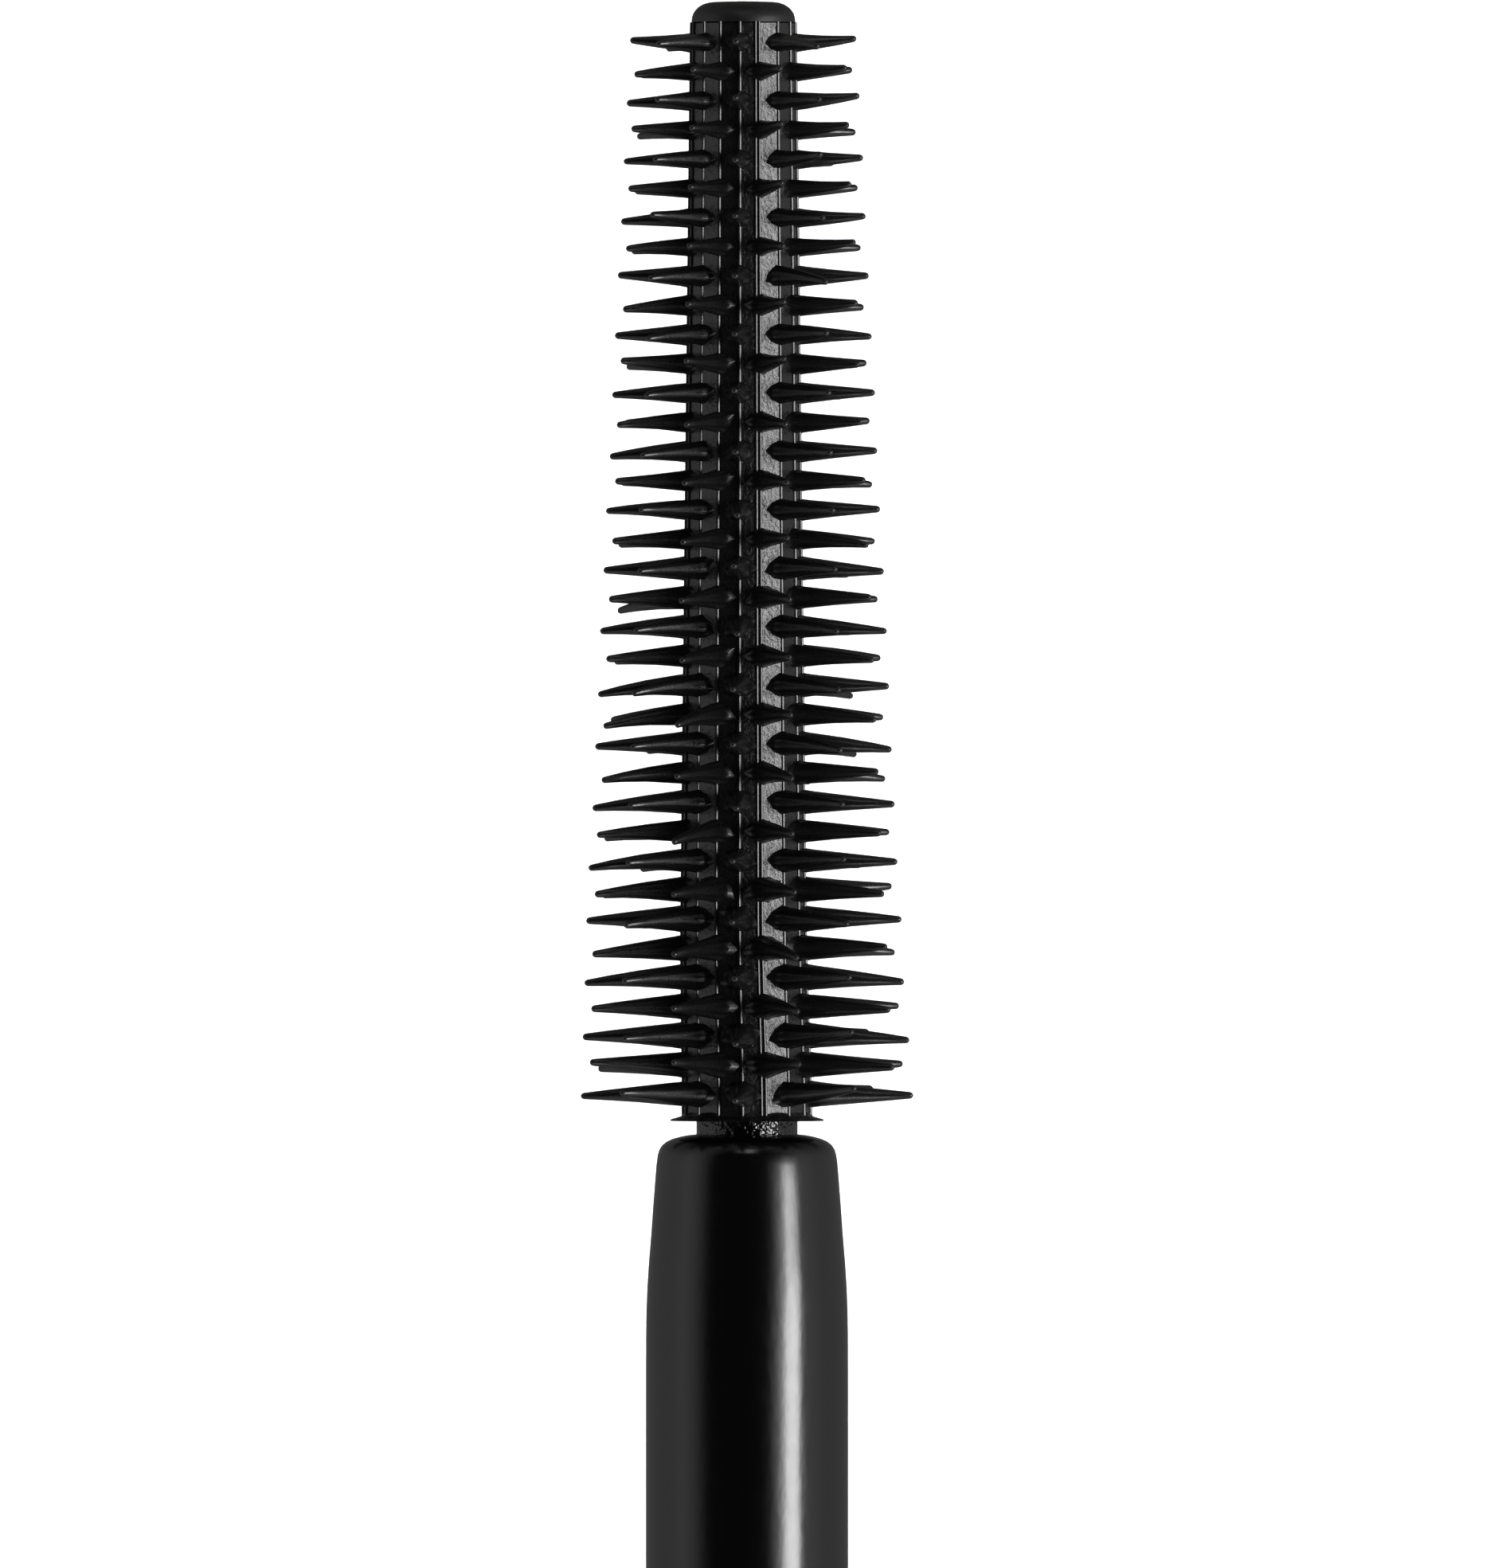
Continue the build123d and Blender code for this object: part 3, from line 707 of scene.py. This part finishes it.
class MASCARA_OT_stage(bpy.types.Operator):
    """Stage: pale floor, soft strip light beside the brush, weak end panels, grey surround and the camera"""

    bl_idname = "mascara.stage"
    bl_label = "Stage"

    def execute(self, context):
        settings = context.scene.mascara_stage
        self.floor()
        self.surround(context.scene)
        brush_middle = (SLEEVE_FOOT + SLEEVE_END) / 2
        strip = self.panel("strip_light", brush_middle, STRIP_SIZE, settings.strip_power,
                           lean_deg=44, roll_deg=22)
        # The strip fades towards the overhead side and the ends, and stops short on its far side
        self.soft_edges(strip,
                        [(0.0, 0.0), (0.14, 0.03), (0.33, 0.09), (0.48, 0.30), (0.57, 1.0), (1.0, 1.0)],
                        [(0.0, 0.0), (0.20, 0.12), (0.35, 1.0), (0.65, 1.0), (0.80, 0.12), (1.0, 0.0)])
        self.panel("cap_end_panel", 0, END_PANEL_SIZE, settings.side_power, swing_deg=-41)
        self.panel("tube_end_panel", 0, END_PANEL_SIZE, 0.4 * settings.side_power, swing_deg=46)
        self.camera(context.scene, settings)
        context.scene.view_settings.view_transform = "Standard"
        context.scene.view_settings.look = "None"
        return {"FINISHED"}

    def floor(self):
        begin()
        bpy.ops.mesh.primitive_plane_add(size=60, location=(0, 0, -FLOOR_GAP))
        floor = bpy.context.object
        floor.name = "floor"
        bpy.ops.object.transform_apply(location=True, rotation=True, scale=True)
        material, tree = blank_material("pale_studio_floor")
        cloud = noise_at(tree, 0.4)
        colour = add(tree, "ShaderNodeMix", {"data_type": "RGBA", 6: linear("f2f2f2"), 7: linear("f6f6f6")},
                     {"Factor": cloud.outputs["Fac"]})
        shader = add(tree, "ShaderNodeBsdfPrincipled",
                     {"Roughness": 0.9, "Emission Color": (1, 1, 1, 1), "Emission Strength": 0.7},
                     {"Base Color": colour.outputs[2]})
        add(tree, "ShaderNodeOutputMaterial", links={"Surface": shader.outputs["BSDF"]})
        dress(floor, material)
        floor.visible_glossy = False
        floor.visible_diffuse = False

    def ramp(self, tree, value, stops):
        """Grey ramp through (position, level) stops."""
        ramp = add(tree, "ShaderNodeValToRGB", links={"Fac": value})
        elements = ramp.color_ramp.elements
        for position, _ in stops[1:-1]:
            elements.new(position)
        for element, (position, level) in zip(elements, stops):
            element.position, element.color = position, (level, level, level, 1)
        return ramp.outputs["Color"]

    def soft_edges(self, lamp, across, along):
        """Lets a panel's glow vary across its width and along its length."""
        lamp.data.use_nodes = True
        tree = lamp.data.node_tree
        tree.nodes.clear()
        surface = add(tree, "ShaderNodeNewGeometry")
        parts = add(tree, "ShaderNodeSeparateXYZ", links={"Vector": surface.outputs["Parametric"]})
        glow = add(tree, "ShaderNodeMath", {"operation": "MULTIPLY"}, {
            0: self.ramp(tree, parts.outputs["X"], across), 1: self.ramp(tree, parts.outputs["Y"], along)})
        light = add(tree, "ShaderNodeEmission", links={"Strength": glow.outputs["Value"]})
        add(tree, "ShaderNodeOutputLight", links={"Surface": light.outputs["Emission"]})

    def surround(self, scene):
        """Surround: white to the eye; in reflections dark overhead, grey round the sides and dim below."""
        world = bpy.data.worlds.new("studio_surround")
        scene.world = world
        world.use_nodes = True
        tree = world.node_tree
        tree.nodes.clear()
        direction = add(tree, "ShaderNodeTexCoord")
        parts = add(tree, "ShaderNodeSeparateXYZ", links={"Vector": direction.outputs["Generated"]})
        height = add(tree, "ShaderNodeMapRange", {"From Min": -1.0, "From Max": 1.0},
                     {"Value": parts.outputs["Z"]})
        level = self.ramp(tree, height.outputs["Result"], [
            (0.0, 0.12), (0.10, 0.20), (0.42, 0.52), (0.60, 0.80), (0.72, 0.60), (0.85, 0.03), (1.0, 0.0)])
        # Dimmer past the tube's end, so that the stem's shoulder stays dark
        end = add(tree, "ShaderNodeMapRange", {
            "From Min": 0.15, "From Max": 0.75, "To Min": 1.0, "To Max": 0.35}, {"Value": parts.outputs["X"]})
        seen = add(tree, "ShaderNodeBackground", {"Color": (1, 1, 1, 1)})
        mirrored = add(tree, "ShaderNodeBackground",
                       links={"Color": level, "Strength": end.outputs["Result"]})
        ray = add(tree, "ShaderNodeLightPath")
        mix = add(tree, "ShaderNodeMixShader", links={
            0: ray.outputs["Is Camera Ray"], 1: mirrored.outputs["Background"],
            2: seen.outputs["Background"]})
        add(tree, "ShaderNodeOutputWorld", links={"Surface": mix.outputs["Shader"]})

    def panel(self, name, x, size, power, lean_deg=0.0, swing_deg=0.0, roll_deg=0.0):
        """Area light that faces the axis at x, leaning from straight above towards -Y, swung along X and
        rolled about its own middle."""
        lean, swing = math.radians(lean_deg), math.radians(swing_deg)
        light = bpy.data.lights.new(name, "AREA")
        light.shape, light.energy = "RECTANGLE", power
        light.size, light.size_y = size
        lamp = bpy.data.objects.new(name, light)
        bpy.context.scene.collection.objects.link(lamp)
        out = Vector((math.sin(swing), -math.sin(lean) * math.cos(swing), math.cos(lean) * math.cos(swing)))
        along = (Vector((1, 0, 0)) - out * out.x).normalized()
        turn = Matrix((along.cross(out), along, out)).transposed().to_4x4()
        roll = Matrix.Rotation(math.radians(-roll_deg), 4, "Z")
        lamp.matrix_world = Matrix.Translation(Vector((x, 0, AXIS_Z)) + out * PANEL_DISTANCE) @ turn @ roll
        return lamp

    def camera(self, scene, settings):
        """Long lens straight above the brush, the brush pointing up in its view."""
        data = bpy.data.cameras.new("camera")
        camera = bpy.data.objects.new("camera", data)
        scene.collection.objects.link(camera)
        data.sensor_width = SENSOR_WIDTH
        data.lens = data.sensor_width * settings.camera_height / settings.view_height
        data.clip_start, data.clip_end = 0.01, 200.0
        x = BRUSH_TIP + settings.tip_margin - settings.view_height / 2
        camera.location = (x, 0, AXIS_Z + settings.camera_height)
        camera.rotation_euler = (0, 0, -math.pi / 2)
        scene.camera = camera


class MASCARA_PT_panel(bpy.types.Panel):
    """Lists the steps that build the mascara"""

    bl_label = "Mascara"
    bl_idname = "MASCARA_PT_panel"
    bl_space_type = "VIEW_3D"
    bl_region_type = "UI"
    bl_category = "Mascara"

    def draw(self, context):
        for step in STEPS:
            self.layout.operator(step.bl_idname)
        for group in ("mascara_brush", "mascara_colours", "mascara_stage"):
            settings = getattr(context.scene, group)
            for name in settings.bl_rna.properties.keys():
                if name not in ("rna_type", "name"):
                    self.layout.prop(settings, name)


STEPS = (MASCARA_OT_sleeve, MASCARA_OT_bristles, MASCARA_OT_core, MASCARA_OT_stem, MASCARA_OT_cap,
         MASCARA_OT_tube, MASCARA_OT_stage)
GROUPS = {"mascara_brush": BrushShape, "mascara_colours": MascaraColours, "mascara_stage": StageSettings}
MATERIALS = {}


def register():
    for cls in (*GROUPS.values(), *STEPS, MASCARA_PT_panel):
        bpy.utils.register_class(cls)
    for name, group in GROUPS.items():
        setattr(bpy.types.Scene, name, PointerProperty(type=group))


def unregister():
    for name in GROUPS:
        delattr(bpy.types.Scene, name)
    for cls in reversed((*GROUPS.values(), *STEPS, MASCARA_PT_panel)):
        bpy.utils.unregister_class(cls)


def main():
    register()
    MATERIALS.update(make_materials())
    bpy.ops.mascara.sleeve()
    bpy.ops.mascara.bristles()
    bpy.ops.mascara.core()
    bpy.ops.mascara.stem()
    bpy.ops.mascara.cap()
    bpy.ops.mascara.tube()
    bpy.ops.mascara.stage()


if __name__ == "__main__":
    main()
